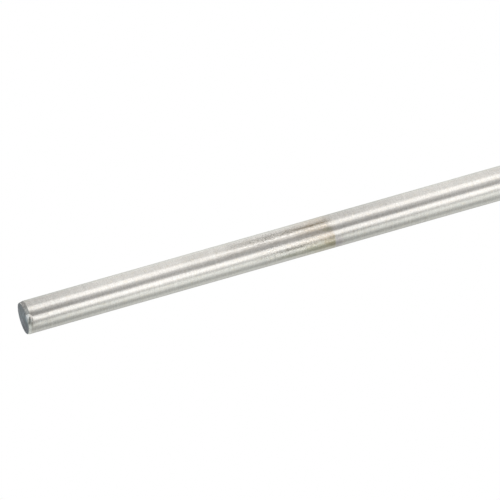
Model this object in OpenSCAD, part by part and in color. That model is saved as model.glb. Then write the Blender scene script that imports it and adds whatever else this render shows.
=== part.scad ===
// Round metal bar, cut to length and lying on its side along X.
// The origin is on the ground under the middle of the bar. The end at -X is the hand-dressed one:
// its bevel sits a little off the bar's axis, and two flats are filed across the bevel. The end at
// +X has the same bevel, turned true. Lengths are in millimetres and angles in degrees.

/* [Bar] */
// Diameter of the bar
bar_d = 12; // [8:0.5:25]
// Length of the bar over both end faces
bar_length = 300; // [200:10:1000]

/* [Bevels] */
// How far each bevel and its edge break go in from the bar's surface at the end face
bevel_depth = 0.35; // [0.3:0.01:0.6]
// Angle between the bevel and the bar's axis
bevel_angle = 12; // [8:1:45]
// Width of the small 45 degree break between the bevel and the end face
edge_break = 0.12; // [0.05:0.01:0.16]

/* [Dressed end] */
// How far the bevel of the dressed end sits off the bar's axis
bevel_offset = 0.08; // [0:0.01:0.12]
// Side towards which that bevel is off, turned about the bar from its top towards the front
bevel_turn = 126; // [0:1:360]
// Reach of the long filed flat along the bar, measured on its surface
flat_reach = 1.98; // [1.6:0.01:3]
// Angle between the long filed flat and the bar's axis
flat_angle = 18; // [12:1:20]
// Middle of the long filed flat, turned about the bar from its top towards the front
flat_turn = 46; // [0:1:360]
// Reach along the bar, to its surface, of the steeper flat filed next to the end face
steep_reach = 1.22; // [1:0.01:1.5]
// Angle between the steeper flat and the bar's axis
steep_angle = 32; // [30:1:45]
// Middle of the steeper flat, turned about the bar from its top towards the front
steep_turn = 44; // [0:1:360]

/* [Hidden] */
$fn = 96;

bar_r = bar_d / 2;
face_r = bar_r - bevel_depth;
// The cutting shapes stand this far out of the bar, so that no two surfaces coincide
margin = 1;

// Puts what is drawn about the X axis, from x = 0 towards +X, on the dressed end of the lying bar
module on_dressed_end() {
    translate([-bar_length / 2, 0, bar_r]) children();
}

// The same for the true end, drawn from x = 0 towards -X
module on_true_end() {
    translate([bar_length / 2, 0, bar_r]) mirror([1, 0, 0]) children();
}

// Turns what is drawn on top of the bar about the bar's axis, towards the front
module turned(angle) {
    rotate([angle, 0, 0]) children();
}

// Lays what stands on the Z axis along the X axis
module along_x() {
    rotate([0, 90, 0]) children();
}

// Space that a bevelled end leaves to the bar: end face, edge break and cone, then clear of the bar
module bevel_envelope() {
    cone_r = bar_r + margin;
    cone_start_r = face_r + edge_break;
    cone_end_x = edge_break + (cone_r - cone_start_r) / tan(bevel_angle);
    along_x()
        rotate_extrude()
            polygon([
                [0, 0],
                [face_r, 0],
                [cone_start_r, edge_break],
                [cone_r, cone_end_x],
                [cone_r, bar_length + margin],
                [0, bar_length + margin]
            ]);
}

// Material that the file took off: everything over a plane that dips towards the end face
module filed_off(reach, angle) {
    cut_length = 2 * (reach + margin);
    translate([reach, 0, bar_r])
        rotate([0, -angle, 0])
            translate([-cut_length, -bar_d, 0])
                cube([cut_length, 2 * bar_d, bar_d]);
}

module rod() {
    color([0.66, 0.64, 0.61])
        difference() {
            intersection() {
                on_dressed_end()
                    along_x() cylinder(r = bar_r, h = bar_length);
                on_dressed_end()
                    turned(bevel_turn) translate([0, 0, bevel_offset]) bevel_envelope();
                on_true_end()
                    bevel_envelope();
            }
            on_dressed_end() {
                turned(flat_turn) filed_off(flat_reach, flat_angle);
                turned(steep_turn) filed_off(steep_reach, steep_angle);
            }
        }
}

rod();
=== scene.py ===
import functools
import math

import bpy
import numpy as np
from mathutils import Matrix, Vector


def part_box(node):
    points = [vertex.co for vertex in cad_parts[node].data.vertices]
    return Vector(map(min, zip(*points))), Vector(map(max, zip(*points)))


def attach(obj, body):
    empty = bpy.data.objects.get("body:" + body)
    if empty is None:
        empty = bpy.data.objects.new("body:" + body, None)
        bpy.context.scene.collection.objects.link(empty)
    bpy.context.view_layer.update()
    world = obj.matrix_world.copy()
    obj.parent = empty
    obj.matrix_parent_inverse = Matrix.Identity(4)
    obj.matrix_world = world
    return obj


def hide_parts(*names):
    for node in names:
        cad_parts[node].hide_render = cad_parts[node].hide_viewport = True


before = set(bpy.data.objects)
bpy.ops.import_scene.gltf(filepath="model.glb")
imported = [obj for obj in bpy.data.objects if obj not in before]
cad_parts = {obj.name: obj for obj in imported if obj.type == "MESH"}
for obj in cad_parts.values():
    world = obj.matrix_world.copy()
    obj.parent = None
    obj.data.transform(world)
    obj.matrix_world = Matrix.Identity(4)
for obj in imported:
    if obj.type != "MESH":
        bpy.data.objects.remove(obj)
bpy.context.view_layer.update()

MM = 0.001

# The bar, from the frame. The smallest reach on any side is the radius, so nothing stands out of its box.
bar_low, bar_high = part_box("rod")
AXIS_Z = (bar_low.z + bar_high.z) / 2
BAR_R = min(-bar_low.y, bar_high.y, AXIS_Z - bar_low.z)
HALF_LENGTH = min(-bar_low.x, bar_high.x)

# Its bevels, with the sizes that the solid has. A turn is an angle about the bar, from its top to the front.
BEVEL_DEPTH = 0.35 * MM
BEVEL_SLOPE = math.tan(math.radians(12))
EDGE_BREAK = 0.12 * MM
BEVEL_OFFSET = 0.08 * MM
BEVEL_TURN = math.radians(126)
FACE_R = BAR_R - BEVEL_DEPTH
CONE_START_R = FACE_R + EDGE_BREAK

# The two flats filed across the bevel of the dressed end: reach on the bar, slope, turn of the middle.
# Neither gets further round the bar than the half arc.
LONG_FLAT = (1.98 * MM, math.tan(math.radians(18)), math.radians(46))
STEEP_FLAT = (1.22 * MM, math.tan(math.radians(32)), math.radians(44))
FLAT_HALF_ARC = math.radians(60)

# The nick that a corner of the file left in them. It leans, coming nearer to the face as the turn grows.
NICK_TURN = math.radians(53)
NICK_HALF_ARC = math.radians(15)
NICK_FROM_FACE = 0.78 * MM
NICK_LEAN = -1.4 * MM
NICK_HALF_WIDTH = 0.36 * MM
NICK_DEPTH = 0.09 * MM

# Saw lines of the faces: the direction across them, from the back towards the top, their wave lengths,
# the share of its wave length that each is deep, how askew they may be, and the seeds of their draws
SAW_DIRECTION = 2.27
SAW_WAVES_MM = (0.9, 0.62, 0.41, 0.3)
SAW_DEPTH = 0.004
SAW_SWAY = 0.05
NEAR_SAW_SEED = 7
FAR_SAW_SEED = 11

# How deep the hand dressing wanders into the bevel, and its waves: count round the bar, phase and size
DRESSING_WANDER = 0.014 * MM
WANDER_WAVES = ((2, 0.6, 1.0), (5, 2.1, 0.7), (9, 4.4, 0.5))

# The mesh: points in a ring, and the rings of each part. The land is the bar's surface beside a bevel,
# where the rings are close at first and then grow further apart.
SEGMENTS = 384
TURNS = np.arange(SEGMENTS) * 2 * math.pi / SEGMENTS
LAND = 3.2 * MM
FACE_RINGS = 36
SAW_FADE_RINGS = 2
EDGE_RINGS = 4
BEVEL_RINGS = 26
LAND_RINGS = 10
LAND_SPREAD = 1.6
PLAIN_RINGS = 32
SHARP_ANGLE = math.radians(24)

# Material numbers of its faces
GROUND, BEVEL, FACE = range(3)


# Shape of the bar's surface: radii and reaches as arrays over the turn

def cone_radius(t, turn, offset, wander):
    """Distance from the bar's axis to an offset bevel, t metres from the end face."""
    own_r = np.where(t < EDGE_BREAK, FACE_R + t, CONE_START_R + (t - EDGE_BREAK) * BEVEL_SLOPE)
    along = offset * np.cos(turn - BEVEL_TURN)
    return along + np.sqrt(own_r ** 2 - offset ** 2 + along ** 2) - wander


def cone_reach(turn, offset, wander):
    """Distance from the end face at which the bevel meets the bar's surface."""
    own_r = np.sqrt(BAR_R ** 2 + offset ** 2 - 2 * BAR_R * offset * np.cos(turn - BEVEL_TURN))
    return EDGE_BREAK + (own_r + wander - CONE_START_R) / BEVEL_SLOPE


def flat_radius(t, turn, flat):
    """Distance from the bar's axis to a filed flat, and far outside where the flat doesn't reach."""
    reach, slope, middle = flat
    height = BAR_R - (reach - t) * slope
    facing = np.cos(turn - middle)
    least = math.cos(FLAT_HALF_ARC)
    return np.where(facing > least, height / np.maximum(facing, least), 2 * BAR_R)


def flat_reach(turn, flat):
    """Distance from the end face at which a filed flat meets the bar's surface."""
    reach, slope, middle = flat
    return reach - BAR_R * (1 - np.cos(turn - middle)) / slope


def nick_depth(t, turn):
    """Depth of the nick, deepest on its middle line and with rounded ends."""
    along = (turn - NICK_TURN) / NICK_HALF_ARC
    across = (t - NICK_FROM_FACE - NICK_LEAN * (turn - NICK_TURN)) / NICK_HALF_WIDTH
    return NICK_DEPTH * np.clip(1 - along ** 4, 0, 1) * np.clip(1 - np.abs(across), 0, 1)


def dressing_wander(turn):
    """Slow unevenness of the dressed bevel over the turn, always into the bar."""
    waves = sum(size * np.sin(count * turn + phase) for count, phase, size in WANDER_WAVES)
    largest = sum(size for count, phase, size in WANDER_WAVES)
    return DRESSING_WANDER * (1 + waves / largest) / 2


def end_rings(offset, dressed):
    """Rings of one end, from its face to the plain bar: (distance from the face, radius) arrays."""
    turn = TURNS
    wander = dressing_wander(turn) if dressed else 0
    reach = cone_reach(turn, offset, wander)
    if dressed:
        reach = np.maximum(reach, flat_reach(turn, LONG_FLAT))
    steps = [EDGE_BREAK * k / (EDGE_RINGS - 1) + 0 * turn for k in range(EDGE_RINGS)]
    steps += [EDGE_BREAK + (reach - EDGE_BREAK) * k / BEVEL_RINGS for k in range(1, BEVEL_RINGS + 1)]
    steps += [reach + (LAND - reach) * (k / LAND_RINGS) ** LAND_SPREAD for k in range(1, LAND_RINGS + 1)]
    rings = []
    for t in steps:
        radius = np.minimum(cone_radius(t, turn, offset, wander), BAR_R)
        if dressed:
            radius = np.minimum(radius, flat_radius(t, turn, LONG_FLAT))
            radius = np.minimum(radius, flat_radius(t, turn, STEEP_FLAT))
            radius = radius - nick_depth(t, turn)
        rings.append((t, radius))
    return rings


def ring_points(x, radius):
    """Points of a ring round the bar's axis, from its top towards the front."""
    return np.stack([x + 0 * TURNS, -radius * np.sin(TURNS), AXIS_Z + radius * np.cos(TURNS)], 1)


def saw_relief(y, z, seed):
    """Depth of fine parallel saw lines across a face, in metres."""
    rng = np.random.default_rng(seed)
    across = y * math.cos(SAW_DIRECTION) + z * math.sin(SAW_DIRECTION)
    along = -y * math.sin(SAW_DIRECTION) + z * math.cos(SAW_DIRECTION)
    depth = 0 * y
    for wave_mm in SAW_WAVES_MM:
        phase = rng.uniform(0, 2 * math.pi)
        sway = rng.uniform(-SAW_SWAY, SAW_SWAY)
        depth += wave_mm * (1 + np.sin(2 * math.pi * (across + sway * along) / (wave_mm * MM) + phase))
    return depth * SAW_DEPTH * MM


def bar_mesh():
    """The whole bar as one closed mesh."""
    near = end_rings(BEVEL_OFFSET, dressed=True)
    far = end_rings(0.0, dressed=False)
    points, faces, finish = [], [], []

    def add(new_points):
        """Adds points and returns the index of the first of them."""
        first = sum(map(len, points))
        points.append(new_points)
        return first

    def quads(a, b, kind):
        """Joins two rings, given by the index of their first points."""
        for i in range(SEGMENTS):
            j = (i + 1) % SEGMENTS
            faces.append((a + i, a + j, b + j, b + i))
            finish.append(kind)

    def face_disc(x, rim_radius, sign, seed):
        """Adds the rings inside the rim, where the saw lines fade, and returns the outermost's index."""
        centre = add(np.array([[x, 0, AXIS_Z]]))
        rings = []
        for k in range(1, FACE_RINGS):
            ring = ring_points(x, rim_radius * k / FACE_RINGS)
            fade = np.clip((FACE_RINGS - k) / SAW_FADE_RINGS, 0, 1)
            ring[:, 0] += sign * fade * saw_relief(ring[:, 1], ring[:, 2] - AXIS_Z, seed)
            rings.append(add(ring))
        for i in range(SEGMENTS):
            j = (i + 1) % SEGMENTS
            tri = (centre, rings[0] + i, rings[0] + j)
            faces.append(tri if sign < 0 else tri[::-1])
            finish.append(FACE)
        for a, b in zip(rings, rings[1:]):
            quads(*((b, a) if sign > 0 else (a, b)), FACE)
        return rings[-1]

    # The near end
    inner = face_disc(-HALF_LENGTH, near[0][1], 1, NEAR_SAW_SEED)
    rings = [add(ring_points(-HALF_LENGTH + t, radius)) for t, radius in near]
    quads(rings[0], inner, FACE)
    for k, (a, b) in enumerate(zip(rings, rings[1:]), 1):
        quads(b, a, BEVEL if k < len(near) - LAND_RINGS else GROUND)
    last = rings[-1]
    # The plain bar
    for x in np.linspace(-HALF_LENGTH + LAND, HALF_LENGTH - LAND, PLAIN_RINGS + 2)[1:-1]:
        here = add(ring_points(x, BAR_R + 0 * TURNS))
        quads(here, last, GROUND)
        last = here
    # The far end
    rings = [add(ring_points(HALF_LENGTH - t, radius)) for t, radius in far[::-1]]
    quads(rings[0], last, GROUND)
    for k, (a, b) in enumerate(zip(rings, rings[1:])):
        quads(b, a, GROUND if k < LAND_RINGS else BEVEL)
    inner = face_disc(HALF_LENGTH, far[0][1], -1, FAR_SAW_SEED)
    quads(inner, rings[-1], FACE)

    mesh = bpy.data.meshes.new("dressed_bar")
    mesh.from_pydata(np.concatenate(points).tolist(), [], faces)
    mesh.polygons.foreach_set("material_index", finish)
    mesh.polygons.foreach_set("use_smooth", [True] * len(faces))
    mesh.update()
    mesh.set_sharp_from_angle(angle=SHARP_ANGLE)
    return mesh


# Node helpers

class Net:
    """Adds nodes to the tree of a new material. An input is a number or another node's output."""

    def __init__(self, name):
        self.material = bpy.data.materials.new(name)
        self.material.use_nodes = True
        self.nodes = self.material.node_tree.nodes
        self.links = self.material.node_tree.links
        self.nodes.clear()
        self.out = self.nodes.new("ShaderNodeOutputMaterial")

    def put(self, socket, value):
        """Links another node's output to an input, or sets the input's value."""
        if isinstance(value, bpy.types.NodeSocket):
            self.links.new(value, socket)
        else:
            socket.default_value = value

    def shader(self):
        """Adds the surface shader and links it to the output."""
        shader = self.nodes.new("ShaderNodeBsdfPrincipled")
        self.links.new(shader.outputs[0], self.out.inputs["Surface"])
        return shader

    def math(self, operation, a, b=0.0, clamp=False):
        node = self.nodes.new("ShaderNodeMath")
        node.operation = operation
        node.use_clamp = clamp
        self.put(node.inputs[0], a)
        self.put(node.inputs[1], b)
        return node.outputs[0]

    def product(self, *factors):
        return functools.reduce(lambda a, b: self.math("MULTIPLY", a, b), factors)

    def total(self, *terms):
        return functools.reduce(lambda a, b: self.math("ADD", a, b), terms)

    def step(self, value, low, high):
        """0 below low and 1 above high, smooth between them. With high under low it falls instead."""
        node = self.nodes.new("ShaderNodeMapRange")
        node.interpolation_type = "SMOOTHSTEP"
        falls = high < low
        self.put(node.inputs["Value"], value)
        node.inputs["From Min"].default_value = min(low, high)
        node.inputs["From Max"].default_value = max(low, high)
        node.inputs["To Min"].default_value = 1 if falls else 0
        node.inputs["To Max"].default_value = 0 if falls else 1
        return node.outputs[0]

    def window(self, value, start, end, soft_start, soft_end):
        """1 from start to end, fading outwards to both sides."""
        begins = self.step(value, start - soft_start, start)
        ends = self.step(value, end + soft_end, end)
        return self.product(begins, ends)

    def patch(self, along, around_bar):
        """1 on a patch of the bar: a window in millimetres from the near face by one in degrees of turn."""
        return self.product(self.window(self.from_face, *along), self.window(self.turn, *around_bar))

    def vector(self, operation, *values):
        """Adds an operation on vectors and returns its node."""
        node = self.nodes.new("ShaderNodeVectorMath")
        node.operation = operation
        for socket, value in zip(node.inputs, values):
            self.put(socket, value)
        return node

    def stretch(self, vector, factors):
        return self.vector("MULTIPLY", vector, factors).outputs[0]

    def dot(self, vector, direction):
        return self.vector("DOT_PRODUCT", vector, direction).outputs["Value"]

    def noise(self, vector, detail, roughness=0.5):
        node = self.nodes.new("ShaderNodeTexNoise")
        node.inputs["Scale"].default_value = 1
        node.inputs["Detail"].default_value = detail
        node.inputs["Roughness"].default_value = roughness
        self.put(node.inputs["Vector"], vector)
        return node.outputs[0]

    def pair(self, u, v):
        """A vector of two values, for a noise that is laid over them."""
        node = self.nodes.new("ShaderNodeCombineXYZ")
        self.put(node.inputs[0], u)
        self.put(node.inputs[1], v)
        return node.outputs[0]

    def around(self, value, spread, centre=1.0):
        """Turns a noise value about 0.5 into a factor about the centre."""
        return self.total(self.product(value, spread), centre - spread / 2)

    def mix(self, factor, a, b, blend="MIX"):
        node = self.nodes.new("ShaderNodeMix")
        node.data_type = "RGBA"
        node.blend_type = blend
        self.put(node.inputs["Factor"], factor)
        self.put(node.inputs["A"], a)
        self.put(node.inputs["B"], b)
        return node.outputs["Result"]

    def tint(self, colour, factor, tint):
        """Multiplies a colour by a tint, as far as the factor says."""
        return self.mix(factor, colour, (*tint, 1), "MULTIPLY")

    def scaled(self, colour, factor):
        node = self.vector("SCALE", colour)
        self.put(node.inputs["Scale"], factor)
        return node.outputs[0]

    def ramp(self, value, stops):
        """Colours over the value's range, from (value, colour) stops."""
        first, last = stops[0][0], stops[-1][0]
        place = self.math("DIVIDE", self.math("SUBTRACT", value, first), last - first, clamp=True)
        node = self.nodes.new("ShaderNodeValToRGB")
        self.put(node.inputs[0], place)
        elements = node.color_ramp.elements
        for k, (at, colour) in enumerate(stops):
            element = elements[k] if k < 2 else elements.new(1)
            element.position = (at - first) / (last - first)
            element.color = (*colour, 1)
        return node.outputs[0]

    def bump(self, height, distance, normal=None):
        """A bump of that many metres for a height of 1, on top of another bump where one is given."""
        node = self.nodes.new("ShaderNodeBump")
        node.inputs["Strength"].default_value = 1
        node.inputs["Distance"].default_value = distance
        self.put(node.inputs["Height"], height)
        if normal is not None:
            self.put(node.inputs["Normal"], normal)
        return node.outputs[0]

    def place(self):
        """Where on the bar: millimetres from its middle and from the near face, and degrees of turn."""
        coordinates = self.nodes.new("ShaderNodeTexCoord")
        from_middle = self.vector("SUBTRACT", coordinates.outputs["Object"], (0, 0, AXIS_Z)).outputs[0]
        in_mm = self.stretch(from_middle, (1 / MM, 1 / MM, 1 / MM))
        split = self.nodes.new("ShaderNodeSeparateXYZ")
        self.put(split.inputs[0], in_mm)
        from_face = self.total(split.outputs[0], HALF_LENGTH / MM)
        front = self.product(split.outputs[1], -1.0)
        turn = self.math("DEGREES", self.math("ARCTAN2", front, split.outputs[2]))
        self.from_face, self.turn = from_face, turn
        return in_mm, from_face, turn


# Materials. A patch has two windows, each of them its start, its end and how soft these are: the first in
# millimetres from the near face, the second in degrees round the bar.

QUARTER_TURN = 0.25


def spread_reflection(net, shader, strength):
    """Spreads the reflection across the grinding lines, which run round the bar."""
    tangent = net.nodes.new("ShaderNodeTangent")
    tangent.direction_type = "RADIAL"
    tangent.axis = "X"
    net.put(shader.inputs["Tangent"], tangent.outputs[0])
    shader.inputs["Anisotropic"].default_value = strength
    shader.inputs["Anisotropic Rotation"].default_value = QUARTER_TURN


# Where the stain ends along the bar, in millimetres from the near face
STAIN_END = 115.2


def stain(net, colour, in_mm, from_face, turn):
    """Adds the brown and olive stain, which ends softly on the upper side and sharply below."""
    blotch = net.noise(net.stretch(in_mm, (0.7, 1.0, 1.0)), 4, 0.65)
    streak = net.noise(net.stretch(in_mm, (0.25, 1.6, 1.6)), 3, 0.6)
    ragged = net.total(from_face, net.around(blotch, 2.6, 0.0))
    uneven = net.step(blotch, 0.3, 0.65)
    streaky = net.step(streak, 0.35, 0.62)
    below = net.step(turn, 22, 50)
    above = net.math("SUBTRACT", 1.0, below)
    soft_end = net.step(ragged, STAIN_END + 2, STAIN_END - 3.5)
    nearly_straight = net.total(from_face, net.around(streak, 0.9, 0.0))
    sharp_end = net.step(nearly_straight, STAIN_END + 0.3, STAIN_END - 0.3)
    ends = net.total(net.product(soft_end, above), net.product(sharp_end, below))
    body = net.product(net.step(ragged, 96, 112), ends)
    early = net.product(net.step(ragged, 88, 102), ends)
    # A brownish haze leads up to it on the upper side
    haze = net.patch((90, 112, 24, 6), (-8, 6, 5, 10))
    colour = net.tint(colour, net.product(haze, net.around(uneven, 0.3, 0.85)), (0.73, 0.72, 0.703))
    shoulder = net.patch((80, 113, 16, 4), (18.5, 27, 5, 9))
    colour = net.tint(colour, net.product(shoulder, net.around(streaky, 0.3, 0.9)), (0.72, 0.71, 0.695))
    # The tan body, with freckles
    tan = net.mix(net.step(turn, 45, 80), (0.945, 0.905, 0.86, 1), (0.915, 0.905, 0.83, 1))
    colour = net.mix(net.product(body, net.around(uneven, 0.5, 0.85)), colour, tan, "MULTIPLY")
    freckles = net.step(net.noise(net.stretch(in_mm, (1.6, 2.0, 2.0)), 3, 0.65), 0.46, 0.62)
    colour = net.tint(colour, net.product(body, freckles), (0.92, 0.88, 0.82))
    olive = net.patch((112.5, 114.2, 2, 1), (27, 34, 5, 5))
    colour = net.tint(colour, olive, (0.90, 0.925, 0.84))
    # Darker streaks: a thin brown one near the top, and an olive one low at the front
    top = net.product(net.window(ragged, 109, 110.5, 18, 5), net.window(turn, -1, 3.2, 4, 3.5))
    colour = net.tint(colour, net.product(top, net.around(streaky, 0.4, 0.8)), (0.54, 0.51, 0.46))
    low = net.product(early, net.window(turn, 80, 94, 6, 6))
    colour = net.tint(colour, net.product(low, net.around(streaky, 0.8, 0.65)), (0.77, 0.78, 0.70))
    # The last millimetres below are the brownest, with a thin grey shade right behind them
    last = net.product(net.step(ragged, 109, 113), sharp_end, net.window(turn, 60, 96, 12, 8))
    colour = net.tint(colour, net.product(last, net.around(uneven, 0.8, 0.7)), (0.885, 0.845, 0.785))
    behind = net.math("SUBTRACT", nearly_straight, STAIN_END)
    shade = net.product(net.window(behind, 0.3, 1.2, 0.3, 2.8), net.window(turn, 72, 108, 14, 12))
    return net.tint(colour, shade, (0.86, 0.83, 0.87))


def dirt_specks(net, colour, in_mm, from_face, turn):
    """Adds dark specks: a band of them along the top, a line along the front, and a few strays."""
    grain = net.noise(net.stretch(in_mm, (2.4, 2.8, 2.8)), 2, 0.6)
    fine_grain = net.noise(net.stretch(in_mm, (3.2, 3.4, 3.4)), 2, 0.6)
    specks = net.step(fine_grain, 0.56, 0.61)
    denser = net.product(net.window(from_face, 92, 101, 3, 5), 1.4)
    along_upper = net.total(net.window(from_face, 80, 90, 5, 4), denser)
    upper = net.product(along_upper, net.window(turn, -18, 7, 5, 8), 0.7)
    drops = net.patch((88, 92.5, 2, 2), (10, 18, 3, 3))
    colour = net.tint(colour, net.product(specks, net.total(upper, drops)), (0.36, 0.35, 0.34))
    smear = net.total(net.product(net.step(grain, 0.48, 0.57), 0.6), 0.4)
    line = net.patch((97, 102, 5, 5), (58, 65, 4, 4))
    colour = net.tint(colour, net.product(smear, line), (0.53, 0.52, 0.50))
    beside = net.patch((88, 112, 6, 4), (50, 72, 6, 6))
    colour = net.tint(colour, net.product(net.step(grain, 0.5, 0.6), beside), (0.88, 0.86, 0.82))
    # The shoulder and the middle of the front are rough, with light and dark grains side by side
    shoulder = net.patch((85, 115, 6, 3), (-10, 13, 6, 7))
    front = net.patch((92, 106, 7, 8), (38, 80, 6, 7))
    grains = net.noise(net.stretch(in_mm, (2.6, 3.2, 3.2)), 3, 0.7)
    colour = net.mix(net.total(shoulder, front), colour, net.scaled(colour, net.around(grains, 2.0)))
    stray = net.product(net.step(grain, 0.64, 0.7), net.step(from_face, 30, 50))
    return net.tint(colour, stray, (0.80, 0.79, 0.78))


def smudges_and_crease_shade(net, colour):
    """Adds dirt where the bevel meets the bar, below and behind the filed flats and on top, and painted
    shade in the crease above the flats.
    """
    below = net.patch((1.1, 1.4, 0.3, 0.4), (62, 74, 5, 12))
    colour = net.tint(colour, below, (0.64, 0.635, 0.62))
    behind = net.patch((1.65, 2.0, 0.2, 0.2), (48, 56, 4, 3))
    colour = net.tint(colour, behind, (0.66, 0.65, 0.64))
    # Painted shade in the crease above the filed flats
    above = net.patch((1.6, 2.3, 0.4, 0.9), (20, 30, 5, 4))
    colour = net.tint(colour, above, (0.83, 0.825, 0.81))
    on_top = net.patch((1.15, 1.5, 0.15, 0.3), (-20, -12, 4, 4))
    return net.tint(colour, on_top, (0.83, 0.825, 0.82))


def ground_material():
    """The ground surface: fine rings round the bar under all the marks of handling and dirt."""
    net = Net("ground_titanium")
    shader = net.shader()
    in_mm, from_face, turn = net.place()
    rings = net.noise(net.stretch(in_mm, (1.15, 0.05, 0.05)), 4, 0.65)
    fine_rings = net.noise(net.stretch(in_mm, (6.0, 0.12, 0.12)), 2, 0.6)
    mottle = net.noise(net.stretch(in_mm, (2.6, 1.9, 1.9)), 3, 0.7)
    hairlines = net.noise(net.stretch(in_mm, (15.0, 0.2, 0.2)), 2, 0.7)
    drawn = net.noise(net.stretch(in_mm, (0.14, 1.5, 1.5)), 3, 0.6)
    cloud = net.noise(net.stretch(in_mm, (0.045, 0.16, 0.16)), 2, 0.5)
    tone = net.product(net.around(rings, 0.16), net.around(fine_rings, 0.24), net.around(hairlines, 0.6),
                       net.around(mottle, 0.7), net.around(drawn, 0.18), net.around(cloud, 0.16))
    # Darker at the dressed end and beyond the stain, mostly in three lines along the bar
    beyond_stain = net.product(net.window(from_face, 114, 116, 2, 46), 0.7)
    dull = net.total(net.step(from_face, 48, -4), beyond_stain)
    top_line = net.product(net.window(turn, -55, 0, 10, 6), 0.12)
    middle_line = net.product(net.window(turn, 30, 38, 6, 6), 0.08)
    front_line = net.product(net.window(turn, 60, 67, 4, 4), 0.09)
    all_round = 0.12
    dulled = net.product(dull, net.total(top_line, middle_line, front_line, all_round))
    tone = net.math("SUBTRACT", tone, dulled)
    colour = net.scaled((0.60, 0.59, 0.572), tone)
    hue = net.noise(net.stretch(in_mm, (0.8, 1.1, 1.1)), 4, 0.7)
    colour = net.tint(colour, net.step(hue, 0.52, 0.68), (1.0, 0.98, 0.915))
    colour = net.tint(colour, net.step(hue, 0.48, 0.32), (0.965, 1.0, 0.995))
    # A rubbed, dirty patch behind the filed flats
    rub = net.product(net.window(turn, 52, 70, 5, 6), net.step(from_face, 3.2, 1.6))
    colour = net.tint(colour, rub, (0.80, 0.79, 0.78))
    colour = smudges_and_crease_shade(net, colour)
    # Handled darker close to the end, at the top of the back and low at the front
    back = net.product(net.window(turn, -50, -26, 8, 10), net.step(from_face, 3.4, 2.0))
    colour = net.tint(colour, back, (0.84, 0.835, 0.83))
    front = net.product(net.window(turn, 68, 79, 5, 6), net.step(from_face, 5.0, 2.0))
    colour = net.tint(colour, front, (0.84, 0.84, 0.835))
    # Fingered duller on the shoulder halfway to the stain
    fingered = net.patch((62, 68, 4, 3), (-20, 26, 6, 6))
    colour = net.tint(colour, fingered, (0.92, 0.92, 0.915))
    # Two small dull marks behind the filed flats, and two long painted highlights that make the reflection a
    # little brighter
    upper_mark = net.patch((5, 7, 1.5, 1.5), (43, 48, 3, 3))
    lower_mark = net.patch((5.5, 8.5, 1.5, 2), (66, 73, 4, 4))
    colour = net.tint(colour, net.total(upper_mark, lower_mark), (0.88, 0.88, 0.875))
    first_painted_highlight = net.patch((46, 62, 6, 5), (37, 42, 3, 3))
    second_painted_highlight = net.patch((74, 88, 4, 6), (25, 31, 3, 4))
    colour = net.tint(colour, net.total(first_painted_highlight, second_painted_highlight), (1.08, 1.08, 1.08))
    colour = dirt_specks(net, colour, in_mm, from_face, turn)
    colour = stain(net, colour, in_mm, from_face, turn)
    net.put(shader.inputs["Base Color"], colour)
    rough = net.math("SUBTRACT", net.around(rings, 0.08, 0.34), net.product(dull, 0.04))
    net.put(shader.inputs["Roughness"], rough)
    shader.inputs["Metallic"].default_value = 1
    shader.inputs["Specular Tint"].default_value = (0.8, 0.8, 0.8, 1)
    spread_reflection(net, shader, 0.7)
    swell = net.noise(net.stretch(in_mm, (0.16, 0.5, 0.5)), 3, 0.55)
    net.put(shader.inputs["Normal"], net.bump(rings, 1.2e-6, net.bump(swell, 4e-6)))
    return net.material


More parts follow.
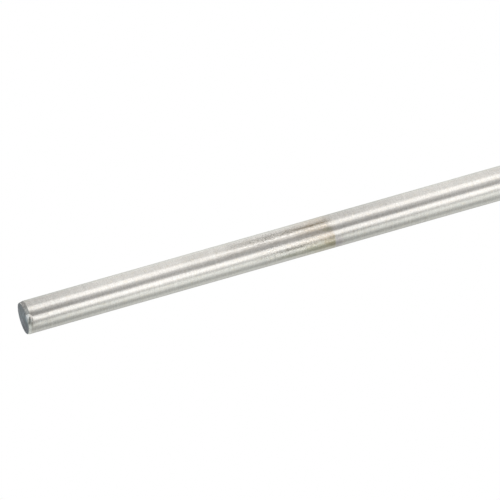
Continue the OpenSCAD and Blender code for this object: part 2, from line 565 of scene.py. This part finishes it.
def bevel_material():
    """The filed bevels and flats."""
    net = Net("filed_bevel")
    shader = net.shader()
    in_mm, from_face, turn = net.place()
    # Round the end: dirty at the top, cleaner towards the front and below
    colour = net.ramp(turn, (
        (-180, (0.42, 0.42, 0.40)),
        (-60, (0.175, 0.171, 0.168)),
        (-40, (0.19, 0.186, 0.183)),
        (-30, (0.225, 0.22, 0.215)),
        (-14, (0.26, 0.255, 0.25)),
        (8, (0.225, 0.23, 0.228)),
        (24, (0.27, 0.285, 0.283)),
        (66, (0.34, 0.35, 0.335)),
        (84, (0.60, 0.61, 0.59)),
        (97, (0.65, 0.66, 0.64)),
        (112, (0.56, 0.57, 0.55)),
        (180, (0.48, 0.48, 0.46)),
    ))
    # The far end's bevel is clean all round
    colour = net.mix(net.step(from_face, 10, 20), colour, (0.43, 0.425, 0.41, 1))
    blotch = net.noise(net.stretch(in_mm, (1.6, 1.1, 1.1)), 4, 0.65)
    strokes = net.noise(net.stretch(in_mm, (5.0, 0.5, 0.5)), 3, 0.6)
    # The file ran askew over the bevel
    arc = net.product(turn, math.radians(BAR_R / MM))
    file_marks = net.noise(net.pair(
        net.product(net.total(from_face, arc), 1.8),
        net.product(net.math("SUBTRACT", from_face, arc), 0.4),
    ), 3, 0.6)
    unevenness = net.product(net.around(blotch, 0.8), net.around(strokes, 0.4), net.around(file_marks, 1.4))
    colour = net.scaled(colour, unevenness)
    # At the top its inner edge is painted bright as a highlight, with dirt beside that, and its outer edge
    # is worn thin
    inner = net.product(net.window(turn, -38, -24, 6, 16), net.step(from_face, 0.32, 0.18))
    colour = net.mix(inner, colour, (0.41, 0.405, 0.40, 1))
    dirt = net.patch((0.38, 0.6, 0.1, 0.14), (-42, -29, 5, 6))
    colour = net.tint(colour, dirt, (0.72, 0.71, 0.73))
    outer = net.patch((1.5, 3, 0.34, 2), (-34, 22, 6, 4))
    colour = net.mix(outer, colour, (0.45, 0.445, 0.43, 1))
    # The steep flat is painted bright and bluish as a highlight, the long one is rubbed, and painted shade
    # darkens the nick
    steep_flat_highlight = net.patch((0.05, 0.68, 0.05, 0.14), (33, 40, 4, 14))
    colour = net.mix(steep_flat_highlight, colour, (0.54, 0.57, 0.585, 1))
    crest = net.patch((0.8, 1.22, 0.15, 0.2), (32, 39, 4, 4))
    colour = net.mix(crest, colour, (0.50, 0.51, 0.50, 1))
    rubbed = net.patch((1.2, 2.0, 0.12, 0.1), (36, 45, 4, 10))
    colour = net.mix(rubbed, colour, (0.52, 0.50, 0.48, 1))
    colour = smudges_and_crease_shade(net, colour)
    nick_line = net.total(net.product(turn, math.radians(NICK_LEAN / MM)),
                          (NICK_FROM_FACE - NICK_LEAN * NICK_TURN) / MM)
    off_nick = net.math("ABSOLUTE", net.math("SUBTRACT", from_face, nick_line))
    nick_middle, nick_end = math.degrees(NICK_TURN), math.degrees(NICK_TURN + NICK_HALF_ARC)
    # Painted shade in the nick
    nick = net.product(net.step(off_nick, 0.5, 0.16), net.window(turn, nick_middle - 7, nick_end - 3, 9, 4))
    colour = net.tint(colour, nick, (0.47, 0.48, 0.47))
    net.put(shader.inputs["Base Color"], colour)
    shader.inputs["Metallic"].default_value = 1
    net.put(shader.inputs["Roughness"], net.around(blotch, 0.2, 0.46))
    spread_reflection(net, shader, 0.4)
    net.put(shader.inputs["Normal"], net.bump(strokes, 3e-6, net.bump(blotch, 6e-6)))
    return net.material


def face_material():
    """The dark sawn faces."""
    net = Net("sawn_face")
    shader = net.shader()
    in_mm, _, turn = net.place()
    blotch = net.noise(net.stretch(in_mm, (1.0, 0.8, 0.8)), 4, 0.65)
    across = net.dot(in_mm, (0, math.cos(SAW_DIRECTION), math.sin(SAW_DIRECTION)))
    along = net.dot(in_mm, (0, -math.sin(SAW_DIRECTION), math.cos(SAW_DIRECTION)))
    streaks = net.noise(net.pair(net.product(across, 1.3), net.product(along, 0.22)), 4, 0.7)
    scratches = net.noise(net.pair(net.product(across, 11.0), net.product(along, 0.35)), 2, 0.7)
    patches = net.noise(net.stretch(in_mm, (1.0, 0.3, 0.3)), 2, 0.5)
    hue = net.mix(net.step(patches, 0.35, 0.65), (0.140, 0.147, 0.172, 1), (0.120, 0.153, 0.170, 1))
    # Lighter on the back half and where the filed flats meet the face, and darker at the top
    radius = net.vector("LENGTH", net.stretch(in_mm, (0, 1, 1))).outputs["Value"]
    back = net.product(net.window(turn, -155, -118, 22, 42), net.step(radius, 0.2, 2.2))
    flats = net.product(net.window(turn, 35, 58, 8, 12), net.step(radius, 2.2, 5.2))
    top = net.product(net.window(turn, -58, -8, 20, 14), net.step(radius, 1.0, 3.6))
    lighter = net.total(net.product(back, 0.38), net.product(flats, 1.15), net.product(top, -0.24), 1.04)
    unevenness = net.product(net.around(blotch, 1.6), net.around(streaks, 4.0), net.around(scratches, 2.4))
    colour = net.scaled(hue, net.product(unevenness, lighter))
    net.put(shader.inputs["Base Color"], colour)
    shader.inputs["Metallic"].default_value = 0.4
    net.put(shader.inputs["Roughness"], net.around(blotch, 0.2, 0.52))
    net.put(shader.inputs["Normal"], net.bump(scratches, 2e-6, net.bump(streaks, 8e-6)))
    return net.material


# The bar takes the place of the solid

bar = bpy.data.objects.new("dressed_bar", bar_mesh())
bpy.context.scene.collection.objects.link(bar)
for make in (ground_material, bevel_material, face_material):
    bar.data.materials.append(make())
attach(bar, "root")
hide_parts("rod")


# Camera: a long lens, level, looking down on the bar from the front and a little from the left

CAMERA_AZIMUTH = math.radians(-20.8)
CAMERA_ELEVATION = math.radians(48.3)
CAMERA_DISTANCE = 5.4
PICTURE_SIDE_PX = 500
BAR_WIDTH_PX = 34.15
NEAR_FACE_PX = (23.2, 318.35)
SENSOR_MM = 36
CLIP_START, CLIP_END = 0.1, 100


def add_camera():
    """Places the camera so that the near face and the bar's width fall on their pixels."""
    a, e = CAMERA_AZIMUTH, CAMERA_ELEVATION
    back = Vector((math.sin(a) * math.cos(e), -math.cos(a) * math.cos(e), math.sin(e)))
    right = Vector((math.cos(a), math.sin(a), 0))
    up = back.cross(right)
    metres_per_px = 2 * BAR_R / BAR_WIDTH_PX
    from_centre = (NEAR_FACE_PX[0] - PICTURE_SIDE_PX / 2, PICTURE_SIDE_PX / 2 - NEAR_FACE_PX[1])
    near_face = Vector((-HALF_LENGTH, 0, AXIS_Z))
    data = bpy.data.cameras.new("camera")
    data.sensor_width = SENSOR_MM
    data.lens = SENSOR_MM * CAMERA_DISTANCE / (PICTURE_SIDE_PX * metres_per_px)
    data.clip_start, data.clip_end = CLIP_START, CLIP_END
    camera = bpy.data.objects.new("camera", data)
    camera.matrix_world = Matrix.Translation(
        near_face + back * CAMERA_DISTANCE
        - right * from_centre[0] * metres_per_px - up * from_centre[1] * metres_per_px
    ) @ Matrix((right, up, back)).transposed().to_4x4()
    bpy.context.scene.collection.objects.link(camera)
    bpy.context.scene.camera = camera


# Studio: strip softboxes along the bar, a pale floor and a plain white surround.
# Each softbox: name, angle about the bar from the front horizon upwards and half width, both in degrees,
# radiance and colour.

SOFTBOXES = (
    ("front_wall", 12, 6, 0.45, (1.0, 0.995, 0.98)),
    ("low_strip", 31.85, 13.95, 1.34, (1.0, 0.99, 0.975)),
    ("top_glow", 78, 9, 0.3, (1.0, 0.985, 0.965)),
    ("top_strip", 102.05, 15.9, 1.255, (1.0, 0.985, 0.965)),
    ("back_wall", 150, 30, 0.62, (1.0, 0.985, 0.965)),
)
SOFTBOX_DISTANCE = 1.2
SOFTBOX_LENGTH = 3.0

# The surround that lights the bar; the camera itself sees plain white
SURROUND_COLOUR = (1, 0.985, 0.97, 1)
SURROUND_STRENGTH = 0.54

# How light the floor is in the bar's reflections, with the bar's shadow painted in as the darker tones near
# it: millimetres from the bar's middle line, behind it positive and in front negative, and the tone there,
# in the floor's colour
FLOOR_TONES = (
    (-60, 1.33),
    (-30, 1.33),
    (-20, 1.12),
    (-14.5, 0.72),
    (-10, 0.60),
    (-8.5, 0.72),
    (-6.8, 1.0),
    (-3, 0.75),
    (0, 0.5),
    (6, 0.7),
    (15, 0.95),
    (30, 1.1),
    (60, 1.3),
)
FLOOR_COLOUR = (0.985, 1, 0.965)
FLOOR_HALF_SIDE = 40

WHITE = (1, 1, 1, 1)


def add_softbox(name, angle, half_width, radiance, colour):
    """Adds a strip light that runs along the bar and faces it."""
    a = math.radians(angle)
    towards = Vector((0, -math.cos(a), math.sin(a)))
    data = bpy.data.lights.new(name, "AREA")
    data.shape = "RECTANGLE"
    data.size = SOFTBOX_LENGTH
    data.size_y = 2 * SOFTBOX_DISTANCE * math.tan(math.radians(half_width))
    data.energy = radiance * math.pi * data.size * data.size_y
    data.color = colour
    light = bpy.data.objects.new(name, data)
    along = Vector((1, 0, 0))
    place = Vector((0, 0, AXIS_Z)) + towards * SOFTBOX_DISTANCE
    light.matrix_world = Matrix.Translation(place) @ Matrix(
        (along, towards.cross(along), towards)
    ).transposed().to_4x4()
    light.visible_camera = False
    bpy.context.scene.collection.objects.link(light)


def by_ray(nodes, links, lighting, seen):
    """Mixes two shaders: one for the light and the reflections, and one that the camera sees."""
    path = nodes.new("ShaderNodeLightPath")
    mix = nodes.new("ShaderNodeMixShader")
    links.new(path.outputs["Is Camera Ray"], mix.inputs[0])
    links.new(lighting.outputs[0], mix.inputs[1])
    links.new(seen.outputs[0], mix.inputs[2])
    return mix.outputs[0]


def add_floor():
    """A floor that the camera sees white, with its own tones for the reflections in the bar."""
    mesh = bpy.data.meshes.new("floor")
    side = FLOOR_HALF_SIDE
    corners = [(-side, -side, 0), (side, -side, 0), (side, side, 0), (-side, side, 0)]
    mesh.from_pydata(corners, [], [(0, 1, 2, 3)])
    floor = bpy.data.objects.new("floor", mesh)
    bpy.context.scene.collection.objects.link(floor)
    net = Net("pale_floor")
    geometry = net.nodes.new("ShaderNodeNewGeometry")
    split = net.nodes.new("ShaderNodeSeparateXYZ")
    net.put(split.inputs[0], geometry.outputs["Position"])
    from_bar = net.math("DIVIDE", split.outputs[1], MM)
    brightest = max(tone for at, tone in FLOOR_TONES)
    tones = net.ramp(from_bar, [
        (at, tuple(channel * tone / brightest for channel in FLOOR_COLOUR)) for at, tone in FLOOR_TONES
    ])
    reflected = net.nodes.new("ShaderNodeEmission")
    net.put(reflected.inputs["Color"], tones)
    reflected.inputs["Strength"].default_value = brightest
    seen = net.nodes.new("ShaderNodeEmission")
    seen.inputs["Color"].default_value = WHITE
    seen.inputs["Strength"].default_value = 1
    net.put(net.out.inputs["Surface"], by_ray(net.nodes, net.links, reflected, seen))
    mesh.materials.append(net.material)


def set_world():
    """A surround that lights the bar, and that the camera sees white."""
    world = bpy.data.worlds.new("surround")
    world.use_nodes = True
    nodes, links = world.node_tree.nodes, world.node_tree.links
    nodes.clear()
    out = nodes.new("ShaderNodeOutputWorld")
    studio = nodes.new("ShaderNodeBackground")
    studio.inputs["Color"].default_value = SURROUND_COLOUR
    studio.inputs["Strength"].default_value = SURROUND_STRENGTH
    white = nodes.new("ShaderNodeBackground")
    white.inputs["Color"].default_value = WHITE
    white.inputs["Strength"].default_value = 1
    links.new(by_ray(nodes, links, studio, white), out.inputs["Surface"])
    bpy.context.scene.world = world


add_camera()
for box in SOFTBOXES:
    add_softbox(*box)
add_floor()
set_world()
# Colours are shown as they are, without a film look
bpy.context.scene.view_settings.view_transform = "Standard"
bpy.context.scene.view_settings.look = "None"
